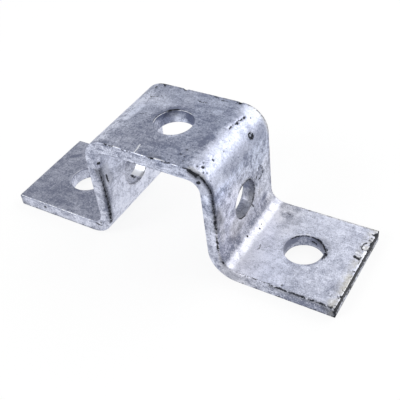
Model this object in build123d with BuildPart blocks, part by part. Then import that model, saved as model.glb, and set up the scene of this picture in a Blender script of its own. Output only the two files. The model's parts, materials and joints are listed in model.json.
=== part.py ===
"""U bracket for strut channel: one strip of flat bar, punched with five holes and folded four times.

The raised middle straddles a square strut channel, and the two feet bolt down beside it.

Frame: the origin is the centre of the footprint, on the surface that the feet stand on.
+X runs along the strip towards one foot, +Y across the strip, and +Z up to the raised top.
All sizes are in millimetres.
"""

import os

from build123d import *

# Flat bar
bar_width = 40.0
bar_thickness = 5.0
bar_edge_radius = 0.5  # rolled long edges of the bar
end_edge_radius = 0.3  # sheared ends, softened by the zinc

# Strut channel that the raised middle goes over
channel_size = 41.3
side_clearance = 0.5  # between the channel and each leg
head_clearance = 0.5  # between the channel and the raised top

# Feet and bends
foot_length = 42.5  # from a leg's outer face to the end of its foot
top_bend_radius = 4.5  # inside radius, next to the channel
foot_bend_radius = 5.5  # inside radius, between a leg's outer face and its foot

# Bolt holes
hole_diameter = 14.3
hole_rim_chamfer = 0.3  # punched rims, softened by the zinc
foot_hole_from_end = 20.3

# Sizes that follow
gap_width = channel_size + 2 * side_clearance
gap_height = channel_size + head_clearance
overall_length = gap_width + 2 * (bar_thickness + foot_length)
overall_height = gap_height + bar_thickness
leg_hole_height = channel_size / 2  # level with the middle of the channel
foot_hole_x = overall_length / 2 - foot_hole_from_end

# The strip's middle line: half a thickness above the floor, and half a thickness out from the gap
foot_line_z = bar_thickness / 2
top_line_z = gap_height + bar_thickness / 2
leg_line_x = gap_width / 2 + bar_thickness / 2
end_x = overall_length / 2
top_line_radius = top_bend_radius + bar_thickness / 2
foot_line_radius = foot_bend_radius + bar_thickness / 2

with BuildPart() as bracket:
    # Four folds turn the straight bar into foot, leg, top, leg and foot
    with BuildLine(Plane.XZ) as middle_line:
        FilletPolyline(
            (-end_x, foot_line_z),
            (-leg_line_x, foot_line_z),
            (-leg_line_x, top_line_z),
            (leg_line_x, top_line_z),
            (leg_line_x, foot_line_z),
            (end_x, foot_line_z),
            radius=[foot_line_radius, top_line_radius, top_line_radius, foot_line_radius],
        )
    bar_end = Plane(
        origin=middle_line.line @ 0,
        x_dir=(0, 1, 0),
        z_dir=middle_line.line % 0,
    )
    with BuildSketch(bar_end):
        RectangleRounded(bar_width, bar_thickness, bar_edge_radius)
    sweep(path=middle_line.line)

    # Sheared ends
    sheared_ends = bracket.faces().sort_by(Axis.X)
    fillet(sheared_ends[0].edges() + sheared_ends[-1].edges(), end_edge_radius)

    # One hole in each foot, one in each leg and one in the raised top
    foot_holes = [Plane.XY.offset(bar_thickness).move(Location((side * foot_hole_x, 0, 0))) for side in (-1, 1)]
    leg_holes = [
        Plane(origin=(side * (gap_width / 2 + bar_thickness), 0, leg_hole_height), z_dir=(side, 0, 0))
        for side in (-1, 1)
    ]
    top_hole = Plane.XY.offset(overall_height)
    with Locations(*foot_holes, *leg_holes, top_hole):
        Hole(hole_diameter / 2, depth=bar_thickness)
    rims = bracket.edges(Select.LAST).filter_by(GeomType.CIRCLE)
    chamfer(rims, hole_rim_chamfer)

bracket.part.label = "bracket"
os.makedirs("parts", exist_ok=True)
export_step(bracket.part, "parts/bracket.step")
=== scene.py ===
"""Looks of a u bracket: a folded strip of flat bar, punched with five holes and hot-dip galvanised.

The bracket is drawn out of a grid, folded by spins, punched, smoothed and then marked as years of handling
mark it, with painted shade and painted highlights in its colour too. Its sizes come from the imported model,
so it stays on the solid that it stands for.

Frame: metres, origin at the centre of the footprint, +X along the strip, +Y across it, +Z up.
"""

import json
import math
from types import SimpleNamespace

import bmesh
import bpy
import numpy as np
from bpy.props import FloatProperty, FloatVectorProperty, IntProperty, PointerProperty
from bpy.types import Operator, Panel, PropertyGroup
from mathutils import Matrix, Vector


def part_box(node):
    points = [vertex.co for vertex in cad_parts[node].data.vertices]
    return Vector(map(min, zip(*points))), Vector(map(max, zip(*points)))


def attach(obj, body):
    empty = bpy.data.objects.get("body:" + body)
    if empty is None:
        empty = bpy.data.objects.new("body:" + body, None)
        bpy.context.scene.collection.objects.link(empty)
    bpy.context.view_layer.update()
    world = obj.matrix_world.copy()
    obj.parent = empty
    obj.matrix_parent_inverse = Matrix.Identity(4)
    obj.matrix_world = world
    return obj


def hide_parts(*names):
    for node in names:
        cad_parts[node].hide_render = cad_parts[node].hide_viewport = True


bl_info = {
    "name": "Galvanised U Bracket",
    "version": (1, 0, 0),
    "blender": (4, 5, 0),
    "location": "3D View > Sidebar > Bracket",
    "description": "Builds a folded and galvanised u bracket on its packed model, and a studio to show it in",
    "category": "Object",
}

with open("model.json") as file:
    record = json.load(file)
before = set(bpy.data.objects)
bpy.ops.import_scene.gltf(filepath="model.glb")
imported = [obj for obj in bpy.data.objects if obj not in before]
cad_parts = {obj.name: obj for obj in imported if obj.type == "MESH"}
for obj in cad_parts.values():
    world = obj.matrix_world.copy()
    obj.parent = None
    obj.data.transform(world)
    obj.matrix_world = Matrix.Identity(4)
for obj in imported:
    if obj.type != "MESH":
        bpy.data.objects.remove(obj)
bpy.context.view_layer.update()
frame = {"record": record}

MM = 0.001
RIGHT_ANGLE = math.pi / 2
TOUCHING = 0.01 * MM
WHITE = (1.0, 1.0, 1.0, 1.0)


# ---- sizes from the frame

def frame_sizes():
    """The bracket's sizes in metres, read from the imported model's box and mounts."""
    low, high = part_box("bracket")
    mounts = {m["name"]: m for m in frame["record"]["mounts"]}
    leg = mounts["right_leg_bore"]["pos_m"]
    feet = mounts["foot_bolts"]["dims"]
    return SimpleNamespace(
        width=high.y - low.y,
        length=high.x - low.x,
        height=high.z - low.z,
        thickness=high.z - mounts["channel_seat"]["pos_m"][2],
        leg_x=leg[0],
        leg_hole_z=leg[2],
        foot_hole_x=feet["spacing_x_mm"] * MM / 2,
        hole_radius=feet["hole_r_mm"] * MM,
    )


FRAME = frame_sizes()


# ---- properties

class BracketShape(PropertyGroup):
    """Sizes that the fold and the mesh are built from."""

    top_bend_radius: FloatProperty(
        name="Top bend radius", description="Inside radius of the two bends beside the raised top",
        default=4.5 * MM, unit="LENGTH",
    )
    foot_bend_radius: FloatProperty(
        name="Foot bend radius", description="Inside radius of the bend between each leg and its foot",
        default=5.5 * MM, unit="LENGTH",
    )
    columns: IntProperty(
        name="Columns", description="Mesh columns across the bar, an odd number",
        default=21,
    )
    hole_columns: IntProperty(
        name="Hole columns",
        description="Mesh columns that the square round each hole takes, an odd number",
        default=9,
    )
    rim_crease: FloatProperty(
        name="Rim crease", description="How crisp the rims of the punched holes are",
        default=0.85, subtype="FACTOR",
    )
    end_crease: FloatProperty(
        name="End crease", description="How crisp the edges of the two sheared ends are",
        default=0.5, subtype="FACTOR",
    )
    side_crease: FloatProperty(
        name="Side crease", description="How crisp the bar's long edges are",
        default=0.37, subtype="FACTOR",
    )
    smoothing: IntProperty(
        name="Smoothing", description="How many times the folded mesh is subdivided",
        default=2,
    )


class ZincFinish(PropertyGroup):
    """Colours and relief of the hot-dip galvanised coat and of what has marked it, and the colours of the
    painted shade and painted highlights.
    """

    # The pale colour also takes the painted highlights and reflections of the paler zones.
    pale_zinc_and_highlight: FloatVectorProperty(
        name="Pale zinc", description="Colour of the coat where it is bright",
        default=(0.81, 0.84, 0.97), subtype="COLOR",
    )
    # The dull colour also takes the painted shade on the top plate, the left foot, the hole walls and the
    # darker zones.
    dull_zinc_and_shade: FloatVectorProperty(
        name="Dull zinc", description="Colour of the coat where it has gone grey",
        default=(0.187, 0.205, 0.288), subtype="COLOR",
    )
    # The dark colour of real pits, stains and flecks, and of the painted shade along the edges and in the
    # hole walls.
    grime: FloatVectorProperty(
        name="Grime", description="Colour of the dark lines and of what lies in the pits",
        default=(0.012, 0.014, 0.02), subtype="COLOR",
    )
    # The bright colour of real scratches, and of the painted highlights on edges, rims and bends.
    bare_metal_and_highlight: FloatVectorProperty(
        name="Bare metal", description="Colour of scratches and of rims that are rubbed bright",
        default=(0.88, 0.90, 0.95), subtype="COLOR",
    )
    rust_bloom: FloatVectorProperty(
        name="Rust bloom", description="Colour of the faint bloom on the sheared end",
        default=(0.60, 0.57, 0.46), subtype="COLOR",
    )
    cool_tint: FloatVectorProperty(
        name="Cool tint",
        description="What the coat's colour is multiplied by on the top and the upper legs",
        default=(0.965, 0.998, 1.045), subtype="COLOR",
    )
    warm_tint: FloatVectorProperty(
        name="Warm tint",
        description="What the coat's colour is multiplied by low on the right leg and in its bend",
        default=(1.040, 1.010, 0.955), subtype="COLOR",
    )
    lump_height: FloatProperty(
        name="Lump height", description="Relief of the zinc's runs and lumps",
        default=0.10 * MM, unit="LENGTH",
    )
    lump_size: FloatProperty(
        name="Lump size", description="Size of the zinc's runs and lumps",
        default=4.0 * MM, unit="LENGTH",
    )
    pit_depth: FloatProperty(
        name="Pit depth", description="Depth of the pits and nicks",
        default=0.40 * MM, unit="LENGTH",
    )


class StudioSetup(PropertyGroup):
    """The pale floor, the soft lights and the camera."""

    camera_azimuth: FloatProperty(
        name="Camera azimuth", description="Turn of the camera about the bracket, from looking along +Y",
        default=math.radians(36.06), unit="ROTATION",
    )
    camera_elevation: FloatProperty(
        name="Camera elevation", description="Height of the camera above the horizon",
        default=math.radians(41.135), unit="ROTATION",
    )
    camera_roll: FloatProperty(
        name="Camera roll", description="Tilt of the camera about its line of sight",
        default=math.radians(-7.94), unit="ROTATION",
    )
    camera_place: FloatVectorProperty(
        name="Camera place", description="Where the camera stands",
        default=(0.124113, -0.161568, 0.1878), subtype="TRANSLATION",
    )
    lens: FloatProperty(
        name="Lens", description="Focal length on a 36 mm sensor",
        default=64.28,
    )
    floor_tone: FloatVectorProperty(
        name="Floor", description="Colour of the floor",
        default=(0.96, 0.96, 0.96), subtype="COLOR",
    )
    room_light: FloatProperty(
        name="Room light", description="Strength of the even light from all round",
        default=0.66,
    )
    back_power: FloatProperty(
        name="Back softbox", description="Power of the wide softbox behind the bracket",
        default=3.3, unit="POWER",
    )
    front_power: FloatProperty(
        name="Front softbox", description="Power of the small softbox in front of the bracket",
        default=2.8, unit="POWER",
    )


# ---- selecting

def deselect_objects():
    for obj in bpy.context.selected_objects:
        obj.select_set(False)


def pick(obj, kind, test):
    """Selects the mesh's verts, edges or faces that pass the test, and nothing else."""
    bpy.ops.mesh.select_mode(type={"verts": "VERT", "edges": "EDGE", "faces": "FACE"}[kind])
    bpy.ops.mesh.select_all(action="DESELECT")
    mesh = bmesh.from_edit_mesh(obj.data)
    for element in getattr(mesh, kind):
        element.select_set(bool(test(element)))
    mesh.select_flush_mode()
    bmesh.update_edit_mesh(obj.data, loop_triangles=False)


def edge_middle(edge):
    return (edge.verts[0].co + edge.verts[1].co) / 2


# ---- folding the bar

def draw_out(direction, length, steps):
    """Extrudes the bar's selected end along a straight stretch."""
    step = Vector(direction) * (length / steps)
    for _ in range(steps):
        bpy.ops.mesh.extrude_region_move(TRANSFORM_OT_translate={"value": step})


def fold(centre_x, centre_z, turn, steps):
    """Spins the bar's selected end through a right angle. turn is 1 to fold upwards, -1 downwards."""
    bpy.ops.mesh.spin(
        steps=steps,
        angle=RIGHT_ANGLE,
        center=(centre_x, 0, centre_z),
        axis=(0, turn, 0),
    )


def draw_past_hole(direction, before, block, after, cell, hole_columns):
    """A straight stretch with room for a hole: steps are even over the square that the hole is cut from."""
    draw_out(direction, before, max(1, round(before / cell)))
    draw_out(direction, block, hole_columns)
    draw_out(direction, after, max(1, round(after / cell)))


def folded_bar(shape):
    """One strip from foot to foot: straight stretches are extruded, and the four bends are spun."""
    half = FRAME.thickness / 2
    foot_line, top_line = half, FRAME.height - half
    foot_bend = shape.foot_bend_radius + half
    top_bend = shape.top_bend_radius + half
    foot_bend_x, foot_bend_z = FRAME.leg_x + foot_bend, foot_line + foot_bend
    top_bend_x, top_bend_z = FRAME.leg_x - top_bend, top_line - top_bend
    cell = FRAME.width / shape.columns
    block = cell * shape.hole_columns
    foot_bend_rows, top_bend_rows = 8, 7

    deselect_objects()
    bpy.ops.mesh.primitive_grid_add(
        x_subdivisions=round(FRAME.thickness / cell),
        y_subdivisions=shape.columns,
        size=1,
        location=(-FRAME.length / 2, 0, foot_line),
        rotation=(0, RIGHT_ANGLE, 0),
    )
    bar = bpy.context.object
    bar.name = "galvanised_bracket"
    bar.scale = (FRAME.thickness, FRAME.width, 1)
    bpy.ops.object.transform_apply(location=True, rotation=True, scale=True)

    foot_outer = FRAME.length / 2 - FRAME.foot_hole_x - block / 2
    foot_inner = FRAME.foot_hole_x - block / 2 - foot_bend_x
    leg_low = FRAME.leg_hole_z - block / 2 - foot_bend_z
    leg_high = top_bend_z - FRAME.leg_hole_z - block / 2
    top_side = top_bend_x - block / 2

    bpy.ops.object.mode_set(mode="EDIT")
    bpy.ops.mesh.select_all(action="SELECT")
    draw_past_hole((1, 0, 0), foot_outer, block, foot_inner, cell, shape.hole_columns)
    fold(-foot_bend_x, foot_bend_z, 1, foot_bend_rows)
    draw_past_hole((0, 0, 1), leg_low, block, leg_high, cell, shape.hole_columns)
    fold(-top_bend_x, top_bend_z, -1, top_bend_rows)
    draw_past_hole((1, 0, 0), top_side, block, top_side, cell, shape.hole_columns)
    fold(top_bend_x, top_bend_z, -1, top_bend_rows)
    draw_past_hole((0, 0, -1), leg_high, block, leg_low, cell, shape.hole_columns)
    fold(foot_bend_x, foot_bend_z, 1, foot_bend_rows)
    draw_past_hole((1, 0, 0), foot_inner, block, foot_outer, cell, shape.hole_columns)
    bpy.ops.object.mode_set(mode="OBJECT")
    return bar


# ---- punching the holes

def hole_places():
    """(centre, axis) of the five holes, each centre in the middle of the bar's thickness."""
    half = FRAME.thickness / 2
    places = [(Vector((0, 0, FRAME.height - half)), Vector((0, 0, 1)))]
    for side in (-1, 1):
        places.append((Vector((side * FRAME.foot_hole_x, 0, half)), Vector((0, 0, 1))))
        places.append((Vector((side * FRAME.leg_x, 0, FRAME.leg_hole_z)), Vector((1, 0, 0))))
    return places


def ring_inwards(bar, centre, radius, roundness):
    """Extrudes the selected loop within its skin, rounds it and gives it a mean radius about the centre."""
    bpy.ops.mesh.extrude_region_move()
    bpy.ops.transform.tosphere(value=roundness)
    mesh = bmesh.from_edit_mesh(bar.data)
    radii = [(v.co - centre).length for v in mesh.verts if v.select]
    scale = radius / (sum(radii) / len(radii))
    bpy.ops.transform.resize(value=(scale, scale, scale), center_override=centre)


def punch(bar, shape, centre, axis):
    """Opens a square in each skin, rounds it to the hole by two rings and draws the wall between them."""
    half = FRAME.thickness / 2
    block = FRAME.width / shape.columns * shape.hole_columns
    wall_rows = 3
    slack = 0.05 * MM

    def in_block(point, level):
        away = point - centre
        across = away - axis * away.dot(axis)
        on_skin = abs(away.dot(axis) - level) < slack
        return on_skin and max(abs(v) for v in across) < block / 2 + slack

    def in_skin(face, level):
        faces_axis = abs(face.normal.dot(axis)) > 0.99
        return faces_axis and in_block(face.calc_center_median(), level)

    for level in (half, -half):
        pick(bar, "faces", lambda f: in_skin(f, level))
        bpy.ops.mesh.delete(type="FACE")
        pick(bar, "edges", lambda e: e.is_boundary and in_block(edge_middle(e), level))
        ring_inwards(bar, centre + axis * level, (FRAME.hole_radius + block / 2) / 2, roundness=0.5)
        ring_inwards(bar, centre + axis * level, FRAME.hole_radius, roundness=1.0)
    draw_out(axis, FRAME.thickness, wall_rows)
    bpy.ops.mesh.select_all(action="SELECT")
    bpy.ops.mesh.remove_doubles(threshold=TOUCHING)


def crease(bar, shape):
    """Sharpens the rims of the holes, the sheared ends and the bar's long edges."""
    half = FRAME.thickness / 2
    slack = 0.1 * MM

    def touches_rim(vert, centre, axis):
        away = vert.co - centre
        level = away.dot(axis)
        radius = (away - axis * level).length
        return abs(radius - FRAME.hole_radius) < slack and abs(abs(level) - half) < slack

    def on_rim(edge):
        return any(
            all(touches_rim(vert, centre, axis) for vert in edge.verts) for centre, axis in hole_places()
        )

    def at_plane(value, distance):
        return abs(abs(value) - distance) < TOUCHING

    def bounds_end(edge):
        at_end = all(at_plane(vert.co.x, FRAME.length / 2) for vert in edge.verts)
        return at_end and any(abs(face.normal.x) < 0.5 for face in edge.link_faces)

    def runs_along(edge):
        on_side = all(at_plane(vert.co.y, FRAME.width / 2) for vert in edge.verts)
        return on_side and {round(abs(face.normal.y)) for face in edge.link_faces} == {0, 1}

    kinds = ((on_rim, shape.rim_crease), (bounds_end, shape.end_crease), (runs_along, shape.side_crease))
    for test, sharpness in kinds:
        pick(bar, "edges", test)
        bpy.ops.transform.edge_crease(value=sharpness)


# ---- wear, painted shade and painted highlights, laid on the mesh's points

def point_grid(bar):
    """The mesh's points in millimetres, one row each."""
    points = np.empty(len(bar.data.vertices) * 3, np.float32)
    bar.data.vertices.foreach_get("co", points)
    return points.reshape(-1, 3) / MM


def falloff(distance, radius, edge):
    """1 within the radius, 0 beyond radius + edge, and smooth between."""
    t = np.clip((radius + edge - distance) / edge, 0, 1)
    return t * t * (3 - 2 * t)


def line_distance(points, route):
    """Distance in millimetres from each point to a route of straight runs."""
    nearest = np.full(len(points), 1e9)
    for start, end in zip(route, route[1:]):
        start, run = np.array(start, float), np.subtract(end, start)
        share = np.clip((points - start) @ run / max(run @ run, 1e-9), 0, 1)
        nearest = np.minimum(nearest, np.linalg.norm(points - start - share[:, None] * run, axis=1))
    return nearest


def paint(bar, name, marks):
    """Writes a point attribute: each mark is (route in mm, half width, soft edge, strength)."""
    points = point_grid(bar)
    layer = np.zeros(len(points), np.float32)
    for route, width, edge, strength in marks:
        distance = line_distance(points, route if len(route) > 1 else route * 2)
        layer = np.maximum(layer, strength * falloff(distance, width, edge))
    bar.data.attributes.new(name, "FLOAT", "POINT").data.foreach_set("value", layer)
    return layer


def press(bar, name, depth):
    """Sinks the painted points below the surface, by a vertex group and a Displace modifier."""
    layer = np.empty(len(bar.data.vertices), np.float32)
    bar.data.attributes[name].data.foreach_get("value", layer)
    group_name = name + "_pressed"
    group = bar.vertex_groups.new(name=group_name)
    faint = 0.02
    for index in np.nonzero(layer > faint)[0]:
        group.add([int(index)], float(layer[index]), "REPLACE")
    sink = bar.modifiers.new(group_name, "DISPLACE")
    sink.vertex_group = group_name
    sink.mid_level = 0
    sink.strength = -depth
    bpy.ops.object.modifier_apply(modifier=sink.name)
    bar.vertex_groups.remove(bar.vertex_groups[group_name])


def roughen(bar, size, height):
    """Lumps and runs of the zinc: a cloud texture that only sinks the surface, so the bar keeps its size."""
    clouds = bpy.data.textures.new("zinc_lumps", "CLOUDS")
    clouds.noise_scale = size
    clouds.noise_depth = 3
    lumps = bar.modifiers.new("Lumps", "DISPLACE")
    lumps.texture = clouds
    lumps.texture_coords = "LOCAL"
    lumps.mid_level = 1
    lumps.strength = height
    bpy.ops.object.modifier_apply(modifier=lumps.name)


# ---- where marks lie, in millimetres

TOP = FRAME.height / MM
NEAR = -FRAME.width / MM / 2
FAR = -NEAR
FOOT = FRAME.thickness / MM
END = FRAME.length / MM / 2
LEG_OUT = (FRAME.leg_x + FRAME.thickness / 2) / MM
LEG_IN = (FRAME.leg_x - FRAME.thickness / 2) / MM
HOLE = FRAME.hole_radius / MM
LEG_HOLE = FRAME.leg_hole_z / MM
FOOT_HOLE = FRAME.foot_hole_x / MM

FACES = {
    "top": lambda x, y: (x, y, TOP),
    "foot": lambda x, y: (x, y, FOOT),
    "foot end": lambda inwards, y: (END - inwards, y, FOOT),
    "near side": lambda x, z: (x, NEAR, z),
    "right leg": lambda y, z: (LEG_OUT, y, z),
    "left leg": lambda y, z: (-LEG_IN, y, z),
}

RIMS = {
    "top": ((0, 0, TOP), "z"),
    "left foot": ((-FOOT_HOLE, 0, FOOT), "z"),
    "right foot": ((FOOT_HOLE, 0, FOOT), "z"),
    "left leg": ((-LEG_IN, 0, LEG_HOLE), "x"),
    "right leg": ((LEG_OUT, 0, LEG_HOLE), "x"),
}

# The middle of the crater in the right upper bend: its y, and its degrees round the bend.
CRATER_Y, CRATER_TURN = 9.4, 61.6


def on_face(face, *marks):
    """Marks on a flat face: each is its places, two numbers a place, then half width, soft edge, strength."""
    return [
        ([FACES[face](*place) for place in places], width, edge, strength)
        for *places, width, edge, strength in marks
    ]


def along_x(y, z, *runs):
    """Straight marks along the strip: each is (start, end, half width, soft edge, strength)."""
    return [([(start, y, z), (end, y, z)], *look) for start, end, *look in runs]


def along_z(x, y, *runs):
    """Straight marks up a leg: each is (start, end, half width, soft edge, strength)."""
    return [([(x, y, start), (x, y, end)], *look) for start, end, *look in runs]


def arc(centre, axis, radius, start, end, steps=12):
    """Points of an arc about an axis of the frame, 'x' or 'z', in degrees."""
    points = []
    for step in range(steps + 1):
        angle = math.radians(start + (end - start) * step / steps)
        a, b = radius * math.cos(angle), radius * math.sin(angle)
        offset = (0, a, b) if axis == "x" else (a, b, 0)
        points.append(tuple(c + o for c, o in zip(centre, offset)))
    return points


def rim(hole, start, end, steps=12, depth=0.0, spread=0.0):
    """Points round a hole, in degrees: depth goes down its wall, and spread goes out from its edge."""
    (x, y, z), axis = RIMS[hole]
    centre = (x, y, z - depth) if axis == "z" else (x - depth, y, z)
    return arc(centre, axis, HOLE + spread, start, end, steps)


def wall_line(start_x, end_x, degrees):
    """A line along the wall of a leg's hole, at an angle about the hole's axis."""
    angle = math.radians(degrees)
    y, z = HOLE * math.cos(angle), LEG_HOLE + HOLE * math.sin(angle)
    return [(start_x, y, z), (end_x, y, z)]


def bend_point(shape, y, degrees, lift=0.0):
    """A point on the outside of the right upper bend: 0 degrees at the raised top, 90 at the leg."""
    radius = shape.top_bend_radius / MM + FOOT
    centre_x, centre_z = LEG_OUT - radius, TOP - radius
    angle = math.radians(degrees)
    return (centre_x + (radius + lift) * math.sin(angle), y, centre_z + (radius + lift) * math.cos(angle))


def round_bend(shape, y, start, end, step, lift=0.0):
    """A route round the outside of the right upper bend."""
    return [bend_point(shape, y, turn, lift) for turn in range(start, end, step)]


# ---- what has marked this bracket, and where shade and highlights are painted

def pits(shape):
    """Pits and nicks that go below the surface."""
    on_bend = [
        (5, 15, 0.25), (5.6, 16, 0.3), (6.3, 17, 0.15), (7.2, 16, 0.2), (8, 18, 0.18), (8.8, 21, 0.38),
        (9.6, 20, 0.12), (10.3, 20, 0.18), (11.2, 23, 0.26), (12, 22, 0.22), (12.8, 25, 0.4),
        (13.5, 24, 0.22), (-15.9, 28, 0.55), (-17.5, 36, 0.25), (-16.7, 42, 0.12), (-10.9, 33, 0.35),
        (-12, 34, 0.1), (-17.8, 50, 0.12), (-9.4, 30, 0.12), (-17.7, 59, 0.12), (-14.2, 22, 0.12),
        (-5, 38, 0.15), (-3.1, 44, 0.15), (1.6, 40, 0.15), (-7.4, 47, 0.15), (14.8, 36, 0.15),
    ]
    crater_rim = [
        bend_point(shape, CRATER_Y + 1.3 * math.cos(angle), CRATER_TURN + 8 * math.sin(angle))
        for angle in np.linspace(0, 5.4, 11)
    ]
    marks = [([bend_point(shape, y, turn)], radius, 0.28, 1) for y, turn, radius in on_bend]
    marks += [
        (crater_rim, 0.1, 0.45, 0.75),
        ([bend_point(shape, CRATER_Y, CRATER_TURN)], 1.2, 0.5, 0.4),
        ([bend_point(shape, -16.9, 17)], 0.4, 0.45, 0.58),
        ([(3.7, -19.8, TOP - 0.1)], 0.45, 0.5, 1),
        ([(-19, 17.4, TOP - 0.3)], 0.5, 0.6, 0.75),
    ]
    marks += on_face(
        "top",
        ((10.4, -19.6), 0.3, 0.5, 0.9), ((9.4, -14.2), 0.2, 0.3, 0.55), ((11, -14.6), 0.2, 0.3, 0.55),
        ((-15.9, 18.8), 0.4, 0.5, 0.7), ((-7.1, 19.5), 0.5, 0.6, 0.85), ((1.8, 14.7), 0.25, 0.4, 0.65),
        ((15.7, 19.2), 0.5, 0.6, 0.85),
    )
    marks += on_face(
        "near side",
        ((-55.9, 2.8), 0.5, 0.8, 0.58), ((-27, 5.6), 0.3, 0.5, 0.7),
        ((20.9, 41.8), (21.5, 42.3), 0.35, 0.5, 0.95),
    )
    marks += on_face(
        "left leg",
        ((-19.3, 36), (-18.2, 35.4), 0.3, 0.45, 1), ((-17.5, 30.8), (-16.6, 28.6), 0.1, 0.5, 0.5),
        ((-16.6, 28.6), (-16.2, 25.4), 0.25, 0.5, 0.75),
    )
    marks += on_face("right leg", ((4.5, 14.6), (5.6, 12.6), 0.2, 0.5, 0.65))
    marks += on_face(
        "foot",
        ((34.3, 15.3), (36.6, 14.4), 0.2, 0.6, 0.48),
        ((43, 16.1), (43.9, 16.7), (44.6, 16.4), 0.12, 0.3, 0.55),
        ((48.7, -18.2), 0.4, 0.5, 0.6), ((51.3, -12.3), 0.25, 0.4, 0.48), ((52.2, -12.9), 0.2, 0.3, 0.45),
    )
    return marks


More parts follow.
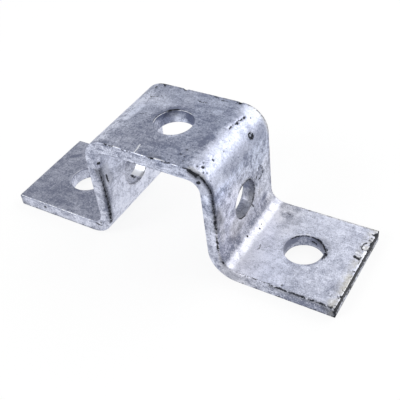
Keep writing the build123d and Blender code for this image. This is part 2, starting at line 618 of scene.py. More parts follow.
def dark_and_shaded_lines(shape):
    """Dark marks with no depth of their own: painted shade along the edges and in the hole walls, and real
    spots, flecks and a ring stain.
    """
    # Painted shade: the dark lines along the near and far edges of the bends, legs and feet.
    bend_edge = round_bend(shape, NEAR + 0.1, 6, 91, 7, lift=-0.2)
    corner = LEG_OUT - 0.5
    foot_start = [(29, NEAR + 0.3, FOOT + 1.2), (32, NEAR + 0.3, FOOT), (46, NEAR + 0.3, FOOT - 0.2)]
    marks = [
        (bend_edge[:3], 0, 0.9, 1),
        (bend_edge[2:7], 0, 1.1, 0.9),
        (bend_edge[6:] + [(LEG_OUT - 0.2, NEAR + 0.1, 21.6)], 0, 0.9, 0.75),
        ([(corner, NEAR + 0.3, 36), (corner, NEAR + 0.4, 24)], 0.05, 1.3, 0.62),
        ([(corner, NEAR + 0.3, 32), (corner, NEAR + 0.4, 31)], 0.2, 0.7, 0.84),
        ([(corner, NEAR + 0.1, 13.6), (corner + 0.5, NEAR + 0.1, 10)], 0, 0.9, 0.58),
        ([(26.6, NEAR + 0.1, 10), (27.3, NEAR + 0.1, 7.6)], 0.2, 0.9, 1),
        ([(-LEG_IN, NEAR + 0.5, 33.2), (-LEG_IN, NEAR + 0.6, 28)], 0, 1.1, 0.7),
        ([(-LEG_IN, NEAR + 0.7, 28), (-LEG_IN, NEAR + 0.8, 16)], 0, 1.3, 0.75),
        ([(-LEG_IN, NEAR + 0.8, 16), (-LEG_IN, NEAR + 0.3, 8)], 0.1, 1.3, 0.85),
        ([(-29.3, NEAR + 0.1, 4.5), (-26.9, NEAR + 0.1, 4.3)], 0.2, 0.6, 0.85),
        (foot_start, 0, 0.6, 0.68),
        ([(62.8, NEAR + 0.1, FOOT - 0.3), (END - 1.5, NEAR + 0.1, FOOT - 0.5)], 0.15, 0.8, 0.95),
        (round_bend(shape, FAR - 0.5, 10, 100, 10, lift=-0.1), 0, 0.6, 0.78),
        ([bend_point(shape, CRATER_Y, CRATER_TURN + 1)], 1.2, 0.5, 0.8),
        (arc((LEG_OUT, 11.3, 24.3), "x", 2.5, 0, 360, 20), 0.15, 0.6, 0.7),
        ([(27.9, -3.7, 6.5)], 0.3, 0.35, 1.2),
        ([(29.2, 4.9, 5.6)], 0.25, 0.35, 0.85),
        ([(29.5, 2.7, 5.4)], 0.25, 0.35, 1),
        # Painted shade and dark reflection in the hole walls and round their rims.
        ([(-LEG_OUT, 0.9, 13.6), (-LEG_IN - 1.2, 0.6, 13.6)], 0.25, 0.9, 0.75),
        ([(FOOT_HOLE + 0.4, HOLE, 2.6), (FOOT_HOLE + 1.7, HOLE - 0.2, 2.2)], 0.3, 0.5, 1),
        (rim("top", 95, 195, spread=0.5), 0, 0.45, 0.75),
        (rim("top", 112, 138, 4, spread=0.5), 0.3, 0.5, 1.15),
        (rim("top", 30, 100, depth=0.3), 0, 0.45, 0.65),
        (rim("left leg", -150, -25), 0.05, 0.5, 0.72),
        (rim("right leg", 50, -60, depth=0.2), 0.05, 0.45, 0.8),
        (rim("right leg", 50, 110, depth=0.2), 0.4, 0.6, 0.75),
        (rim("right leg", -135, -95, depth=0.2), 0.15, 0.45, 0.9),
        (rim("right foot", 65, 150, depth=0.3), 0.1, 0.5, 1),
        (rim("right foot", 30, 70, depth=0.3), 0.3, 0.6, 1),
        (rim("right foot", -110, -15, depth=0.3, spread=0.2), 0, 0.45, 0.6),
        (rim("right foot", -8, 24, spread=0.8), 0.4, 0.5, 1),
    ]
    # Painted shade along the right leg's corners, the foot end and the edges of the top and feet.
    marks += along_z(corner, NEAR + 0.4, (28.8, 28.8, 0.3, 0.6, 0.98), (23.6, 23.6, 0.3, 0.6, 1))
    marks += along_z(corner, NEAR + 0.2, (26.5, 25.5, 0.35, 0.7, 0.98))
    marks += along_z(corner, NEAR + 0.1, (21.6, 19.2, 0, 0.8, 0.5), (18.8, 13.6, 0.15, 0.8, 0.85))
    marks += along_z(LEG_OUT - 0.1, FAR - 0.5, (37, 24, 0, 0.6, 0.78), (24, 11, 0, 0.5, 0.66))
    marks += along_z(END - 0.2, NEAR + 0.1, (0.4, FOOT - 0.6, 0.25, 0.7, 0.95))
    marks += along_x(
        NEAR + 0.2, TOP - 0.2,
        (-15.5, -12.2, 0.05, 0.6, 0.85), (1.2, 3.8, 0.05, 0.6, 0.85), (7.6, 10.8, 0.05, 0.6, 0.85),
        (13.8, 17.6, 0.05, 0.6, 0.85),
    )
    marks += along_x(NEAR + 0.1, TOP - 0.2, (-9.5, -4.5, 0, 0.6, 0.65))
    marks += along_x(
        NEAR + 0.2, FOOT - 0.3,
        (45, 48.5, 0.05, 0.7, 0.9), (48.5, 52.5, 0.05, 0.7, 0.9), (52.5, 62.8, 0.05, 0.8, 0.92),
    )
    marks += along_x(NEAR + 0.1, 0.6, (-END + 0.5, -32, 0, 0.6, 0.72), (32, END - 0.5, 0, 0.6, 0.8))
    marks += along_x(FAR - 0.5, FOOT - 0.1, (33, 50, 0, 0.6, 0.75), (50, END, 0, 0.5, 0.66))
    marks += along_x(
        FAR - 0.5, TOP - 0.1,
        (-20, -12, 0.05, 0.6, 0.85), (-12, 8, 0, 0.6, 0.72), (8, 17.5, 0.05, 0.6, 0.85),
    )
    # Painted shade on the near side of the right bend.
    marks += on_face(
        "near side",
        ((18.3, 46.1), (19.5, 45.6), (20.5, 44.9), 0.45, 0.6, 1.3),
        ((-7.2, 42), (-1.5, 41.9), 0.05, 0.5, 0.82),
    )
    marks += on_face("foot", ((32.1, -3.5), 0.25, 0.35, 0.9), ((33.3, -4.1), (34, -6.3), 0.15, 0.35, 0.75))
    marks += on_face(
        "top",
        ((0.9, 14.7), (2.6, 14.4), (4.5, 14.7), 0.1, 0.45, 0.9),
        ((-16.8, 10.2), (-14.5, 11.4), (-12.2, 13.2), 0.1, 0.45, 0.85),
        ((-14.1, -0.3), (-12.3, 1.3), 0.1, 0.45, 0.95), ((8.5, 18), (10.9, 18.1), 0.05, 0.45, 0.9),
        ((5.7, 18.9), (7.5, 18.8), 0.05, 0.45, 0.9), ((-19.8, 17.4), (-17.7, 19.2), 0.05, 0.45, 0.9),
        ((11.2, -14), (13.6, -14.8), 0.05, 0.45, 0.9), ((15, -14.2), (16.4, -13), 0, 0.4, 0.8),
        ((14.7, 18.9), 0.2, 0.45, 1), ((9.2, 9.1), 0.2, 0.45, 1), ((12.4, -11.6), 0.2, 0.45, 0.95),
        ((14.3, -16.9), 0.2, 0.45, 0.95),
    )
    return marks


def end_chips():
    """Dark chips and nicks where the zinc broke away from the right foot's sheared end."""
    edge = END - 0.05
    return [([(edge, NEAR, FOOT - 0.8), (edge, FAR, FOOT - 0.8)], 0.05, 0.6, 0.7)] + on_face(
        "foot end",
        ((0.3, 17.8), (0.4, 16.9), 0.25, 0.45, 1), ((1.1, 16.9), 0.3, 0.35, 1.1),
        ((1, 15.2), 0.2, 0.35, 0.9), ((1.2, 13.7), 0.25, 0.35, 1),
        ((0.2, 12.8), (0.4, 11.4), 0.3, 0.4, 0.95),
        ((1.9, 12.2), (2.8, 9.6), (1.9, 8.4), (0, 8.9), 0.12, 0.45, 0.9),
        ((2.2, 5.8), 0.2, 0.35, 0.85), ((3.2, 4.3), (1.6, 3.8), 0.35, 0.45, 1),
        ((1.1, 4.6), (0.9, 3.2), 0.15, 0.45, 0.95), ((0.4, -2.6), 0.15, 0.35, 0.8),
        ((0.3, -6.2), 0.15, 0.35, 0.75), ((1.2, -14.9), (0, -14.3), 0.25, 0.45, 1.1),
        ((0.9, -18.3), (0.3, -18.6), 0, 0.45, 0.6),
    )


def dull_and_shaded_zones(shape):
    """Soft darker zones: painted shade in the bends, corners and hole walls, and darker clouds of the coat.
    """
    marks = [
        # Painted shade along the right bend's near edge, down the left leg's inner corner and in the hole
        # walls.
        (round_bend(shape, NEAR + 0.2, 33, 90, 7), 0.4, 1.6, 1.1),
        ([bend_point(shape, 6.2, 77)], 0.6, 1.5, 1),
        ([(-LEG_IN, NEAR + 1.2, 33), (-LEG_IN, NEAR + 0.8, 12)], 0.6, 1.6, 0.9),
        ([(LEG_OUT - 0.6, -9, 39.8), (LEG_OUT - 0.6, 16, 39.8)], 1.2, 2.6, 0.5),
        ([(LEG_OUT + 0.4, -15, 11), (LEG_OUT + 0.4, 13, 11)], 0.6, 2.8, 0.7),
        ([(LEG_OUT + 0.9, -18, 8), (LEG_OUT + 0.9, 15, 8)], 0.7, 1.6, 0.85),
        ([(-17, NEAR, TOP - 2.5), (20, NEAR, TOP - 2.5)], 1, 1.5, 0.42),
        ([(19.2, 11.5, TOP - 0.4), (19.2, 13.5, TOP - 0.4)], 0.8, 1.5, 0.8),
        ([(18.3, 8.7, TOP), (19.2, 8.9, TOP - 0.4)], 0.5, 1.5, 1.2),
        ([(-18.6, -18.8, TOP - 0.2), (-16.2, -18.9, TOP)], 0.5, 1.4, 1),
        ([(27.4, 18.4, 7), (29, 18.4, 5.6)], 0.5, 1.5, 0.8),
        ([(27, -2.2, 7.5)], 0.8, 1.3, 1.1),
        ([(27.2, 6.9, 7.3)], 0.6, 1.4, 1),
        ([(22.8, -18.4, 44.5)], 0.4, 1.4, 1.2),
        ([(23.4, 10.8, 44)], 0.6, 1.5, 0.9),
        ([(-20.6, -19.7, 45.8)], 0.5, 1.3, 1.1),
        ([(-22.1, 13.5, 45.1)], 0.8, 1.6, 1),
        (rim("top", 75, 175, spread=1), 0.4, 2, 0.7),
        (rim("top", 35, 75, 6, depth=2), 1.2, 1.2, 1.1),
        (rim("right foot", -60, 30, spread=0.3), 0.2, 0.8, 0.9),
        (rim("right foot", 30, 80, depth=1.8), 1.4, 1, 1.3),
        (rim("right foot", 100, 128, 4, depth=1.2), 0.5, 1, 0.9),
        (rim("right foot", 148, 205, 6, depth=1.6), 1.2, 1, 1.2),
    ]
    marks += on_face(
        "top",
        ((-6, -13), (12, -9), 1, 4, 0.15), ((12, -8), (12, 6), 1, 4, 0.35),
        ((-0.6, -19), (1.6, -19), 0.3, 0.9, 0.9), ((15.2, -6.5), (16.2, -3), 0.8, 1.8, 1),
    )
    marks += on_face(
        "near side",
        ((30, 2.4), (49, 1.6), 1.8, 1.2, 0.55), ((51, 1.6), (END, 1.8), 1.6, 1.6, 1.1),
        ((-END + 0.9, 0.5), (-END + 0.9, 4), 0.8, 1.6, 1.2), ((66, 0.9), (END, 0.9), 0.8, 1, 1.3),
        ((-24, 32.5), (-24, 30.8), 0.7, 1.2, 0.9), ((-22.8, 32.5), (-22.8, 28), 0.4, 1.2, 0.9),
        ((-23.4, 27.2), (-23.4, 25.6), 0.5, 1.2, 0.9), ((-22.6, 9.6), (-22.8, 8.2), 0.5, 1.2, 1),
        ((-15.8, 45.6), (-14.8, 45.6), 0.4, 1, 1), ((3.4, 46), (4.8, 46), 0.3, 0.8, 1),
        ((7.4, 42.6), 0.4, 1, 0.9), ((20.6, 41.2), 0.4, 0.9, 0.8), ((21, 40.4), 0.4, 1, 0.8),
    )
    marks += on_face("left leg", ((-15, 37), (-8, 31), 1.5, 3.5, 0.15))
    marks += on_face(
        "right leg",
        ((-18.8, 37), (-17.8, 10), 0.5, 3, 0.3), ((-18.6, 29.5), (-17.6, 23.5), 1, 1.8, 1.2),
        ((2, 36), (6, 35), 0.5, 3, 0.4), ((2.5, 39), (5.5, 34.8), 0.6, 1.6, 1.1),
        ((-9.6, 21.8), (-8.6, 20.8), 0.8, 1.4, 0.8), ((19, 36), (19, 12), 0.2, 1.1, 0.8),
        ((11.3, 24.3), 2, 0.9, 0.25), ((-16.6, 22.2), 0.5, 1.5, 1),
    )
    marks += on_face(
        "foot",
        ((34.5, 14.5), (39.5, 12.2), 1, 2.5, 0.85), ((-65.6, 7.6), (-62, 11.4), 0.4, 1, 1),
        ((64.2, -14.6), (65.2, -13), 1.2, 2.2, 0.9), ((32, 18.2), (37, 18), 0.8, 1.8, 1.3),
        ((65.3, 13.7), 0.5, 1.2, 0.7), ((34.9, -16.6), 0.6, 1.5, 0.6),
    )
    return marks


def shadow_lines(shape):
    """Painted shade: broad soft darkening beside the dark lines, along the edges and corners and round the
    hole walls.
    """
    bend = round_bend(shape, NEAR + 0.3, 27, 91, 7, lift=-0.3)
    left_leg = [(-LEG_IN, NEAR + 0.9, 32.6), (-LEG_IN, NEAR + 1.1, 26), (-LEG_IN, NEAR + 0.9, 16)]
    marks = [
        (bend, 0.2, 1.6, 0.64),
        ([bend[-1], (LEG_OUT - 0.2, NEAR + 0.5, 22)], 0.2, 1.7, 0.55),
        (left_leg, 0.3, 1.8, 0.66),
        ([left_leg[-1], (-LEG_IN, NEAR + 0.4, 8)], 0.2, 1.6, 0.62),
        ([(26.6, NEAR + 0.1, 9.6), (27.7, NEAR + 0.1, 6.8)], 0.3, 1.3, 0.45),
        (rim("top", 118, 142, 5, depth=1.1), 0.5, 1.2, 0.4),
        (rim("left leg", -150, -60, depth=0.5), 0.1, 1.1, 0.45),
        (rim("right leg", 115, 50, depth=1.2), 0.8, 1.4, 0.55),
        (rim("right leg", 50, -45, depth=1), 0.5, 1.4, 0.42),
        (rim("right foot", 15, 62, 6, spread=1.5), 0.4, 1.4, 0.22),
        (rim("right foot", 36, 72, 6, depth=0.9), 0.4, 1.2, 0.45),
    ]
    marks += along_x(NEAR, FOOT - 0.8, (45, 66, 0.2, 1.4, 0.42))
    marks += on_face("top", ((2.5, -18.6), (6.5, -18.6), 0.2, 1.1, 0.25))
    marks += on_face("left leg", ((-17, 32), (-15.8, 26), 1.2, 2.2, 0.3))
    marks += on_face("right leg", ((-18.6, 31), (-17, 26), (-15.2, 23.5), 0.3, 1.8, 0.32))
    marks += on_face(
        "near side",
        ((18.6, 45.6), (21, 44.5), 0.6, 1.4, 0.6), ((-22.2, 33), (-21.8, 31.2), 0.3, 1.3, 0.6),
        ((-68.2, 3.6), (-67.6, 1.6), 0.4, 1.4, 0.22), ((-END, 0.4), (-END + 3, 0.4), 0.5, 1.8, 0.35),
        ((-END + 3, 0.3), (-24, 0.3), 0.2, 1, 0.35), ((END - 2, 0.6), (END, 0.6), 0.4, 1.2, 0.4),
        ((END - 4, 3.6), (END, 2.6), 0.6, 1.6, 0.4),
    )
    return marks


def pale_and_highlit_zones():
    """Soft brighter zones: painted highlights and reflections on the bends and hole walls, painted light over
    shade seen through the left leg's hole, and paler clouds of the coat.
    """
    marks = [
        # Painted reflections on the hole walls, and painted light over the shade seen through the left leg's
        # hole.
        (rim("top", 97, 112, 4, depth=3.8), 0.8, 1.2, 1.5),
        (rim("left leg", -130, -102, 4, depth=2.5), 0.5, 1, 1.2),
        (rim("left foot", 150, 220, depth=2.5), 2, 1, 1.3),
        ([(-35.5, 8, 6.5), (-35.5, 15, 6.5)], 2.2, 1.5, 1.1),
        ([(2.8, -6.9, TOP - 0.3), (4.4, -6, TOP - 0.3)], 0.4, 1.2, 1.2),
    ]
    # On the top: paler clouds, and a painted highlight beside the left bend.
    marks += on_face(
        "top",
        ((-18.5, -15), (-18, 16), 0.8, 2.5, 0.6), ((-17, 3), (-8, 12), 1.8, 4, 0.8),
        ((-10, 15), (10, 16), 1, 5, 0.6), ((-15, -8), (-13, 3), 1.5, 4, 0.5),
        ((-17.4, -4), (-16.4, 4.6), 0.6, 1.6, 2.2), ((11.2, 11.2), 0.8, 1.8, 1.2),
        ((-5.3, 10.5), 0.8, 1.6, 1),
    )
    marks += on_face(
        "near side",
        ((-END + 2, 2.5), (-32, 2.5), 1.8, 1, 0.35), ((23.2, 36.6), (24.4, 34.6), 0.4, 0.9, 1.6),
        ((24.3, 39.9), (24.8, 31.9), 0.2, 1, 0.6), ((25, 20.5), (24.4, 12.5), 0.5, 1.2, 1),
        ((-4.6, 44.8), (-3, 44.8), 0.4, 1, 1), ((-11, 42.4), 0.5, 1, 0.8),
        ((-25.2, 37.3), 0.5, 1.2, 1),
    )
    marks += on_face(
        "left leg",
        ((-13, 23), (-8, 15), 1.5, 5, 0.9), ((-6, 12), (14, 12), 3, 5, 1),
        ((-10, 28), (12, 28), 6, 6, 0.5), ((-10, 10), (16, 10), 6, 6, 1.1),
        ((-12.5, 31.5), (-8, 29), 1.4, 2.4, 1.2), ((-19, 38.6), (-18.6, 37.4), 0.5, 1.2, 1),
    )
    marks += on_face(
        "right leg",
        ((8, 36.5), (10.5, 29), 2.2, 2.5, 0.5), ((0.3, 34.8), (0.8, 30), 0.9, 0.6, 0.45),
        ((-12, 31), (-9.5, 26.5), 0.3, 1, 0.8), ((-9, 36), (-4, 28.5), 1.5, 3, 0.55),
        ((-15.2, 38), (-13.6, 35.6), 1, 1.8, 1.1), ((-0.8, 36.8), (-1.8, 32.5), 0.6, 1.6, 0.9),
        ((12, 13.1), (10.2, 12), 0.8, 1.5, 1), ((0, 31), (0.4, 29), 0.6, 1.4, 0.9),
        ((14.3, 35.6), 0.8, 1.5, 0.8), ((-15.9, 34.2), 0.6, 1.5, 0.8), ((-8.5, 10.9), 0.6, 1.5, 0.9),
    )
    marks += on_face(
        "foot",
        ((34.5, -13.5), (34.5, 14), 3, 8, 1.05), ((42, -17.5), (46, -17), 1, 2.5, 0.5),
        ((38.5, -4.8), 1.5, 2.6, 1.2), ((53.9, -12.7), 0.8, 1.8, 0.9), ((67.4, 17), 0.6, 1.2, 1),
        ((46.1, -9.7), 0.6, 1.8, 1), ((66.4, -5.2), 0.6, 1.6, 1.2),
    )
    return marks


def bloom_zones(shape):
    """A faint warm tint where the coat has begun to stain."""
    marks = [
        (round_bend(shape, FAR - 0.5, 20, 100, 10), 0.3, 1.2, 1),
        (round_bend(shape, NEAR + 1, 10, 50, 10), 0.3, 1.5, 0.7),
    ]
    marks += along_x(FAR - 0.3, FOOT, (46, END, 0.2, 0.6, 1))
    marks += on_face(
        "right leg",
        ((-17.5, 28), (-16.5, 16), 0.5, 2.5, 0.4), ((-8, 14), (8, 14), 2, 5, 0.6),
    )
    marks += on_face(
        "foot end",
        ((1, -13), (0.9, -5), 0.6, 1, 1), ((2, -18.3), 0.8, 1.2, 0.8), ((1.2, 9.6), 0.8, 1, 1),
    )
    return marks


def scratches_and_highlights():
    """Real scratches, and painted highlights along the near edges, round the hole rims and on the sheared
    end, and a painted reflection on the wall of the left leg's hole.
    """
    marks = [
        ([(-3.3, NEAR + 0.4, TOP), (-3.7, -15.3, TOP)], 0.12, 0.3, 0.9),
        ([(4.6, NEAR + 0.5, TOP), (8.8, NEAR + 0.4, TOP)], 0, 0.4, 0.9),
        # Painted highlights round the hole rims.
        (rim("top", 60, 205, spread=0.1), 0, 0.35, 0.7),
        (rim("left foot", 90, 200, spread=0.3), 0.05, 0.35, 0.55),
        (rim("right foot", 95, 150, spread=0.7), 0.05, 0.4, 0.6),
    ]
    # Painted reflection: the bright patch on the wall of the left leg's hole.
    for degrees in (-46, -54, -62, -70):
        marks.append((wall_line(-LEG_OUT, -LEG_IN - 0.3, degrees), 0.55, 0.3, 1.3))
    # Painted highlights along the near edges of the top and the left foot.
    marks += along_x(NEAR + 0.2, TOP, (-17, 17, 0.05, 0.45, 0.5))
    marks += along_x(NEAR + 0.3, TOP, (-3, -0.6, 0, 0.4, 0.65))
    marks += along_x(NEAR + 0.5, TOP, (-12, -9.6, 0.05, 0.4, 0.7))
    marks += along_x(NEAR + 0.35, FOOT - 0.1, (-END + 0.3, -32, 0.08, 0.4, 0.62))
    # Painted highlights on the right foot's sheared end.
    marks += on_face(
        "foot end",
        ((1.9, 9.6), 0.35, 0.4, 1), ((3.4, 6.4), (2.6, 6.6), 0.3, 0.4, 0.7),
        ((0.5, 7.9), (0.6, 5.6), 0.4, 0.4, 1), ((2.2, -17.6), 0.4, 0.6, 0.7),
    )
    return marks


def bore_shade_lines():
    """The axes of the five holes: what lies a hole's radius from them is the wall of the bore, painted darker
    as shade.
    """
    marks = []
    for centre, axis in hole_places():
        reach = axis * FRAME.thickness
        ends = [tuple((centre + reach * side) / MM) for side in (-1, 1)]
        marks.append((ends, HOLE + 0.02, 0.15, 1))
    return marks


# ---- shader maths

class Value:
    """A shader socket that can be used in sums: each sum adds its Math node."""

    def __init__(self, tree, socket):
        self.tree = tree
        self.socket = socket

    def math(self, operation, first, second, clamp=False):
        return self.tree.add(
            "Math", {"operation": operation, "use_clamp": clamp}, {0: first, 1: second}
        )

    def __add__(self, other):
        return self.math("ADD", self, other)

    def __radd__(self, other):
        return self.math("ADD", other, self)

    def __sub__(self, other):
        return self.math("SUBTRACT", self, other)

    def __rsub__(self, other):
        return self.math("SUBTRACT", other, self)

    def __mul__(self, other):
        return self.math("MULTIPLY", self, other)

    def __rmul__(self, other):
        return self.math("MULTIPLY", other, self)

    def clamped(self):
        return self.math("ADD", self, 0.0, clamp=True)

    def step(self, low, high):
        """0 below low, 1 above high and smooth between."""
        return self.tree.add(
            "MapRange",
            {"interpolation_type": "SMOOTHSTEP"},
            {"Value": self, "From Min": low, "From Max": high},
        )


class NodeTree:
    """A material's or world's nodes, added one call at a time."""

    def __init__(self, owner):
        owner.use_nodes = True
        self.nodes = owner.node_tree.nodes
        self.links = owner.node_tree.links
        self.nodes.clear()

    def add(self, kind, settings=None, inputs=None, output=0):
        """Adds a node with its settings, gives its sockets their values or links, and returns one output."""
        node = self.nodes.new("ShaderNode" + kind)
        for name, value in (settings or {}).items():
            setattr(node, name, value)
        for name, value in (inputs or {}).items():
            if isinstance(value, Value):
                self.links.new(value.socket, node.inputs[name])
            else:
                node.inputs[name].default_value = value
        return Value(self, node.outputs[output]) if node.outputs else node

    def noise(self, place, scale, detail, roughness=0.5, distortion=0.0):
        return self.add("TexNoise", {}, {
            "Vector": place, "Scale": scale, "Detail": detail,
            "Roughness": roughness, "Distortion": distortion,
        })

    def attribute(self, name):
        return self.add("Attribute", {"attribute_name": name}, output="Fac")

    def scaled(self, vector, factors):
        """A vector or a colour, multiplied part by part."""
        return self.add("VectorMath", {"operation": "MULTIPLY"}, {0: vector, 1: factors})

    def mix(self, share, first, second):
        """A colour between two: share 0 gives the first, 1 the second. The node's colour sockets have no
        names of their own: they are inputs 6 and 7 and output 2."""
        return self.add("Mix", {"data_type": "RGBA"}, {0: share, 6: first, 7: second}, output=2)


def opaque(colour):
    return (*colour, 1.0)


# ---- the galvanised coat

def coat_noise(tree, place):
    """The coat's patterns: each noise lies about 0, and dimples are a mask."""
    drawn = tree.scaled(place, (0.16, 1.1, 0.5))
    run_space = tree.scaled(place, (0.15, 0.6, 1.2))
    warp = tree.noise(place, 0.35, 2)
    shift = tree.add("VectorMath", {"operation": "SCALE"}, {0: warp, "Scale": 4.0})
    warped = tree.add("VectorMath", {"operation": "ADD"}, {0: place, 1: shift})
    specks = tree.noise(place, 1.9, 1) - 0.5
    cells = tree.add("TexVoronoi", {}, {"Vector": warped, "Scale": 0.3}, output="Color")
    to_edge = {"feature": "DISTANCE_TO_EDGE"}
    seams = tree.add("TexVoronoi", to_edge, {"Vector": warped, "Scale": 0.42})
    return SimpleNamespace(
        patches=tree.noise(place, 0.09, 2, 0.5, 0.6) - 0.5,
        clouds=tree.noise(place, 0.28, 3, 0.6, 0.5) - 0.5,
        mottle=tree.noise(place, 0.9, 3, 0.6, 0.3) - 0.5,
        grain=tree.noise(place, 2.6, 2, 0.6) - 0.5,
        streaks=tree.noise(drawn, 0.8, 4, 0.65, 0.3) - 0.5,
        runs=tree.noise(run_space, 0.9, 3, 0.6, 0.4) - 0.5,
        cells=cells - 0.5,
        seams=seams,
        specks=specks,
        dimples=specks.step(0.1, 0.2),
    )


def coat_zones(tree, place):
    """Where the coat looks different, as masks from 0 to 1, and the place's x, y and z in millimetres."""
    axes = tree.add("SeparateXYZ", {}, {0: place})
    x, y, z = (Value(tree, axes.socket.node.outputs[i]) for i in range(3))
    top_plate = z.step(TOP - 1.2, TOP - 0.3) * (1 - x.step(15.5, 18.5)) * x.step(-19, -16)
    left_foot = (1 - x.step(-30, -27)) * z.step(FOOT - 0.9, FOOT - 0.2)
    right_foot = x.step(29, 32) * z.step(FOOT - 0.6, FOOT - 0.2)
    upper_bend = x.step(16, 19) * z.step(36, 39.5)
    lower_bend = x.step(26.4, 27.6) * (1 - x.step(31, 34)) * (1 - z.step(9, 12))
    near_side = 1 - y.step(NEAR + 0.1, NEAR + 0.9)
    return SimpleNamespace(
        x=x, y=y, z=z,
        top_plate=top_plate,
        left_foot=left_foot,
        right_foot=right_foot,
        level=(top_plate + left_foot + right_foot).clamped(),
        upper_bend=upper_bend,
        lower_bend=lower_bend,
        bends=(upper_bend + lower_bend).clamped(),
        right_leg=x.step(25.7, 25.95) * (1 - x.step(26.6, 27.6)),
        inner_leg=x.step(-LEG_IN - 0.3, -LEG_IN - 0.1) * (1 - x.step(-LEG_IN + 0.5, -LEG_IN + 1)),
        near_side=near_side,
        near_top=near_side * z.step(39, 42),
        near_foot=near_side * x.step(40, 50) * (1 - z.step(FOOT - 0.5, FOOT + 1)),
        bore=tree.attribute("bore"),
    )


def coat_tone(tree, noise, zone):
    """How grey the coat is: 0 for pale zinc, 1 for dull zinc and below 0 for bare metal. It holds painted
    shade and painted highlights as well as the coat's own greys.
    """
    contrast = (1.5 - 0.55 * zone.level + 0.1 * zone.right_foot) * (1 - 0.6 * zone.bends)
    contrast = contrast * (1 - 0.5 * zone.bore) * (1 - 0.2 * zone.near_side) * (1 - 0.3 * zone.inner_leg)
    cloudiness = (0.9 - 0.3 * zone.top_plate - 0.3 * zone.left_foot) * (1 - 0.1 * zone.near_top)
    mottling = 0.75 - 0.3 * zone.near_top + 0.9 * zone.near_foot
    graininess = 1.2 + 0.4 * zone.near_top + 1.4 * zone.near_foot
    veins = (1 - noise.seams.step(0.01, 0.09)) * (noise.clouds + noise.mottle).step(-0.1, 0.15)
    veins = veins * (1.2 - zone.level - zone.bends - 0.6 * zone.inner_leg).clamped()

    tone = (noise.patches + noise.clouds) * cloudiness + noise.mottle * mottling + noise.grain * graininess
    tone = tone + noise.streaks * 0.6 + noise.cells * 0.17 + (noise.runs * 1.3 - 0.06) * zone.near_top
    # The top plate and the left foot are painted darker than the rest: painted shade on these flat faces.
    tone = tone * contrast + 0.45 + 0.27 * zone.top_plate + 0.31 * zone.left_foot - 0.015 * zone.right_foot
    tone = tone + 0.07 * zone.right_leg * zone.y.step(-17, -12) + 0.1 * zone.lower_bend
    # Painted shade in the hole walls and in the darker zones, and painted highlights in the paler zones,
    # besides the coat's own clouds there.
    tone = tone + 0.28 * zone.bore + 0.35 * tree.attribute("dull") - 0.32 * tree.attribute("pale")
    return tone + 0.28 * veins + 0.3 * noise.dimples - 0.35 * (0 - noise.specks).step(0.16, 0.24)


def coat_tint(tree, noise, zone, finish):
    """What the coat's colour is multiplied by: cool up high, and warm low on the right leg."""
    x, y, z = zone.x, zone.y, zone.z
    cool = z.step(24, 32) * (0.4 + 0.6 * x.step(-5, 12)) * (0.8 + 0.6 * y.step(-12, 8))
    cool = cool * (1 - 0.6 * zone.upper_bend) * (1 + 2 * noise.patches)
    warm = x.step(25, 26) * (1 - x.step(30, 46)) * (1 - z.step(28, 38))
    warm = warm * (1 - 0.9 * y.step(-8, 10) * z.step(8, 11))
    tint = tree.mix(cool.clamped(), WHITE, opaque(finish.cool_tint))
    return tree.mix(warm, tint, opaque(finish.warm_tint))


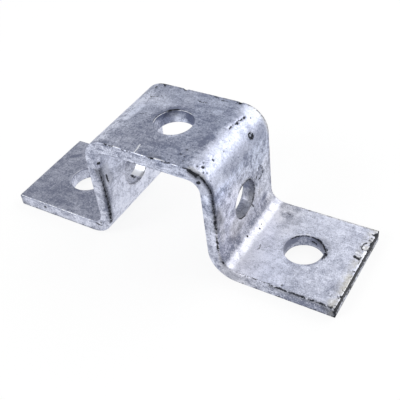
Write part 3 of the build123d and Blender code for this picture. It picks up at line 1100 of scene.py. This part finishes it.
def galvanised_zinc(finish):
    """Hot-dip zinc: clouded greys, fine grain and streaks, dark in the pits, with painted shade along the
    edges and in the hole walls and painted highlights on edges and rims.
    """
    material = bpy.data.materials.new("galvanised_zinc")
    tree = NodeTree(material)
    place = tree.scaled(tree.add("TexCoord", output="Object"), (1 / MM,) * 3)
    noise = coat_noise(tree, place)
    zone = coat_zones(tree, place)
    clouds, mottle, grain = noise.clouds, noise.mottle, noise.grain
    bare_metal_and_highlight, rust_bloom, grime = (opaque(c) for c in (finish.bare_metal_and_highlight, finish.rust_bloom, finish.grime))

    tone = coat_tone(tree, noise, zone)
    colour = tree.mix(tone.clamped(), opaque(finish.pale_zinc_and_highlight), opaque(finish.dull_zinc_and_shade))
    # Where painted highlights push the tone below 0, the colour goes on toward the bright scratch colour.
    colour = tree.mix((0 - tone).clamped(), colour, bare_metal_and_highlight)
    colour = tree.mix(tree.attribute("bloom") * 0.35, colour, rust_bloom)
    colour = tree.scaled(colour, coat_tint(tree, noise, zone, finish))
    end_bloom = zone.x.step(END - 5, END - 1) * (clouds + mottle).step(-0.25, 0.2)
    colour = tree.mix(end_bloom * 0.4, colour, rust_bloom)

    ragged = mottle + grain * 0.9
    chips = zone.x.step(END - 3.2, END - 0.4) * (mottle + grain * 0.5).step(0.04, 0.14)
    flecks = noise.specks.step(0.2, 0.26) * (0.3 + 0.7 * zone.top_plate)
    end_face = zone.x.step(END - 0.35, END - 0.1) * (0.6 + 0.35 * zone.z.step(1.4, 3))
    lines = tree.attribute("grime") * (1 + 1.2 * mottle + 0.8 * clouds)
    dark = (lines + end_face + chips * 0.5 + flecks * 0.7 + ragged).step(0.4, 0.9)
    deep = (tree.attribute("pits") + ragged * 0.4).step(0.3, 0.7)
    bright = (tree.attribute("bright") + ragged).step(0.38, 0.65)
    # The bright mix holds real scratches and painted highlights, the shadow mix painted shade, the dark mix
    # painted shade along the edges with real stains, flecks and chips, and the deep mix the real pits.
    colour = tree.mix(bright * 0.9, colour, bare_metal_and_highlight)
    colour = tree.mix(tree.attribute("shadow"), colour, grime)
    colour = tree.mix(dark * 0.95, colour, grime)
    colour = tree.mix(deep * 0.95, colour, grime)

    relief = clouds * 0.1 + mottle * 0.15 + grain * 0.3 + noise.streaks * 0.08 - noise.dimples * 0.25
    bumps = tree.add("Bump", {}, {"Strength": 0.5, "Distance": 0.11 * MM, "Height": relief})
    shader = tree.add("BsdfPrincipled", {}, {
        "Base Color": colour,
        "Metallic": 0.86,
        "Roughness": (0.46 + clouds * 0.3 + grain * 0.2 + dark * 0.2).clamped(),
        "Normal": bumps,
    })
    tree.add("OutputMaterial", {}, {"Surface": shader})
    return material


# ---- the bracket and its stage

def make_bracket(shape, finish):
    """Folds the bar, punches and creases it, smooths it, marks it with wear, painted shade and painted
    highlights, and galvanises it.
    """
    bar = folded_bar(shape)
    bpy.ops.object.mode_set(mode="EDIT")
    for centre, axis in hole_places():
        punch(bar, shape, centre, axis)
    crease(bar, shape)
    bpy.ops.mesh.select_all(action="SELECT")
    bpy.ops.mesh.normals_make_consistent(inside=False)
    bpy.ops.object.mode_set(mode="OBJECT")
    smooth = bar.modifiers.new("Smooth", "SUBSURF")
    smooth.levels = smooth.render_levels = shape.smoothing
    bpy.ops.object.modifier_apply(modifier=smooth.name)
    layers = {
        "pits": pits(shape),
        "grime": dark_and_shaded_lines(shape) + end_chips(),
        "bright": scratches_and_highlights(),
        "bore": bore_shade_lines(),
        "dull": dull_and_shaded_zones(shape),
        "shadow": shadow_lines(shape),
        "pale": pale_and_highlit_zones(),
        "bloom": bloom_zones(shape),
    }
    for name, marks in layers.items():
        paint(bar, name, marks)
    roughen(bar, finish.lump_size, finish.lump_height)
    press(bar, "pits", finish.pit_depth)
    bpy.ops.object.shade_smooth()
    bar.data.materials.clear()
    bar.data.materials.append(galvanised_zinc(finish))
    return bar


def make_floor(setup):
    """A wide pale floor: it takes the object's shadow, and the camera and the metal see it as near white."""
    floor_size = 6.0
    whiteness = 0.87
    deselect_objects()
    bpy.ops.mesh.primitive_plane_add(size=floor_size, location=(0, 0, 0))
    floor = bpy.context.object
    floor.name = "studio_floor"
    material = bpy.data.materials.new("studio_floor")
    tree = NodeTree(material)
    rays = tree.add("LightPath").socket.node.outputs
    camera_ray, glossy_ray, clear_ray = (
        Value(tree, rays[name]) for name in ("Is Camera Ray", "Is Glossy Ray", "Is Transmission Ray")
    )
    seen = (camera_ray + glossy_ray + clear_ray).clamped()
    matt = tree.add("BsdfDiffuse", {}, {"Color": opaque(setup.floor_tone)})
    white = tree.add("Emission", {}, {"Color": WHITE, "Strength": 1.0})
    floor_look = tree.add("MixShader", {}, {0: seen * whiteness, 1: matt, 2: white})
    tree.add("OutputMaterial", {}, {"Surface": floor_look})
    floor.data.materials.append(material)


def make_room(setup):
    """The world: even soft light, seen as white by the camera."""
    world = bpy.data.worlds.new("studio_room")
    bpy.context.scene.world = world
    tree = NodeTree(world)
    rays = tree.add("LightPath").socket.node.outputs
    camera_ray = Value(tree, rays["Is Camera Ray"])
    light = tree.add("Background", {}, {"Color": WHITE, "Strength": setup.room_light})
    white = tree.add("Background", {}, {"Color": WHITE, "Strength": 1.0})
    room = tree.add("MixShader", {}, {0: camera_ray, 1: light, 2: white})
    tree.add("OutputWorld", {}, {"Surface": room})


def add_softbox(name, place, target, width, height, power):
    """A rectangular soft light that faces a point."""
    bpy.ops.object.light_add(type="AREA", location=place)
    lamp = bpy.context.object
    lamp.name = name
    lamp.data.shape = "RECTANGLE"
    lamp.data.size = width
    lamp.data.size_y = height
    lamp.data.energy = power
    lamp.rotation_euler = (Vector(target) - Vector(place)).to_track_quat("-Z", "Y").to_euler()


def add_camera(setup):
    """The camera: azimuth 0 looks along +Y, and the roll turns the picture about the line of sight."""
    azimuth, elevation = setup.camera_azimuth, setup.camera_elevation
    back = Vector((
        math.sin(azimuth) * math.cos(elevation),
        -math.cos(azimuth) * math.cos(elevation),
        math.sin(elevation),
    ))
    bpy.ops.object.camera_add(location=setup.camera_place)
    camera = bpy.context.object
    camera.name = "studio_camera"
    aim = (-back).to_track_quat("-Z", "Y").to_matrix()
    camera.rotation_euler = (aim @ Matrix.Rotation(setup.camera_roll, 3, "Z")).to_euler()
    camera.data.sensor_width = 36
    camera.data.lens = setup.lens
    camera.data.clip_start = 0.01
    bpy.context.scene.camera = camera


# ---- operators

class OBJECT_OT_galvanised_bracket(Operator):
    """Fold, punch, mark and galvanise the bracket"""

    bl_idname = "object.galvanised_bracket"
    bl_label = "Galvanised bracket"

    def execute(self, context):
        bracket = make_bracket(context.scene.bracket_shape, context.scene.zinc_finish)
        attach(bracket, "root")
        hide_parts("bracket")
        return {"FINISHED"}


class SCENE_OT_bracket_studio(Operator):
    """Lay the floor, hang the lights and set the camera"""

    bl_idname = "scene.bracket_studio"
    bl_label = "Bracket studio"

    def execute(self, context):
        setup = context.scene.studio_setup
        context.scene.view_settings.view_transform = "Standard"
        make_floor(setup)
        make_room(setup)
        middle = (0, 0, FRAME.height / 2)
        back, front = (0.36, 0.50, 0.48), (-0.40, -0.60, 0.55)
        add_softbox("back_softbox", back, middle, width=0.95, height=0.6, power=setup.back_power)
        add_softbox("front_softbox", front, middle, width=0.38, height=0.38, power=setup.front_power)
        add_camera(setup)
        return {"FINISHED"}


class VIEW3D_PT_bracket(Panel):
    """Bracket panel in the sidebar"""

    bl_label = "U Bracket"
    bl_idname = "VIEW3D_PT_bracket"
    bl_space_type = "VIEW_3D"
    bl_region_type = "UI"
    bl_category = "Bracket"

    def draw(self, context):
        scene = context.scene
        for settings in (scene.bracket_shape, scene.zinc_finish, scene.studio_setup):
            box = self.layout.box()
            for name in settings.bl_rna.properties.keys():
                if name not in {"rna_type", "name"}:
                    box.prop(settings, name)
        self.layout.operator(OBJECT_OT_galvanised_bracket.bl_idname)
        self.layout.operator(SCENE_OT_bracket_studio.bl_idname)


# ---- registering and running

CLASSES = (
    BracketShape,
    ZincFinish,
    StudioSetup,
    OBJECT_OT_galvanised_bracket,
    SCENE_OT_bracket_studio,
    VIEW3D_PT_bracket,
)


def register():
    for cls in CLASSES:
        bpy.utils.register_class(cls)
    bpy.types.Scene.bracket_shape = PointerProperty(type=BracketShape)
    bpy.types.Scene.zinc_finish = PointerProperty(type=ZincFinish)
    bpy.types.Scene.studio_setup = PointerProperty(type=StudioSetup)


def unregister():
    del bpy.types.Scene.studio_setup
    del bpy.types.Scene.zinc_finish
    del bpy.types.Scene.bracket_shape
    for cls in reversed(CLASSES):
        bpy.utils.unregister_class(cls)


def main():
    register()
    bpy.ops.object.galvanised_bracket()
    bpy.ops.scene.bracket_studio()


if __name__ == "__main__":
    main()
